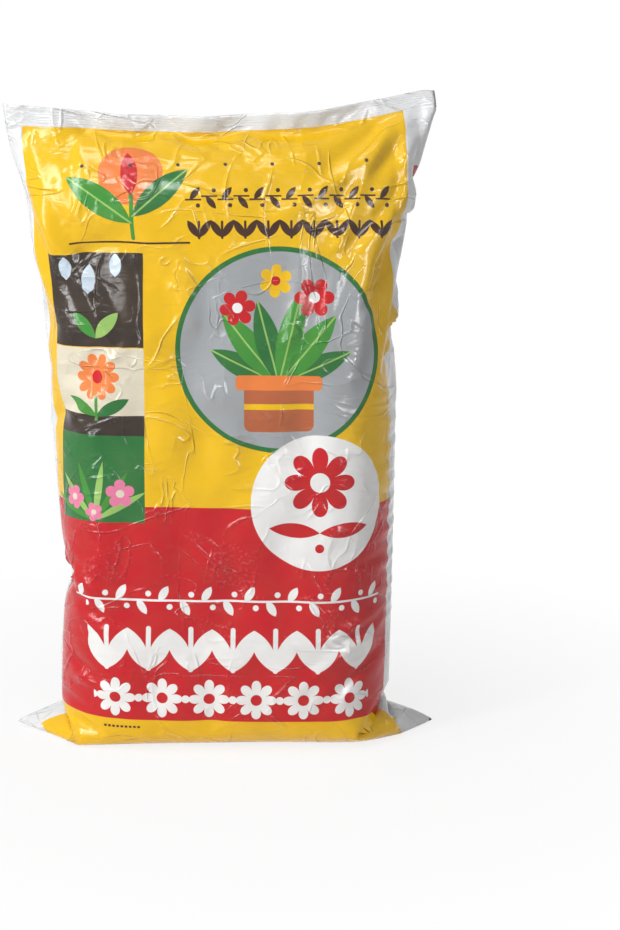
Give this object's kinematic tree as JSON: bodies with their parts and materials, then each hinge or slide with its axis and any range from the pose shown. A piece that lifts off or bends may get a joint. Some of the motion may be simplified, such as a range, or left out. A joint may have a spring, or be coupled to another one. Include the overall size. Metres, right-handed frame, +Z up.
{
  "type": "compost bag",
  "caption": "Full, sealed pillow bag of compost standing on its base, with a flat weld across the top and pinched ears at the corners.",
  "frame": {"origin": "middle of the base, on the surface that the bag stands on", "axes": "+Z up from the base to the top weld, the printed front faces -Y, the bag's width lies along X"},
  "size_m": [0.5295, 0.2112, 0.7804],
  "materials": {
    "printed_film": "gloss, printed"
  },
  "bodies": {
    "root": {"filled_bag": "printed_film"}
  },
  "joints": []
}
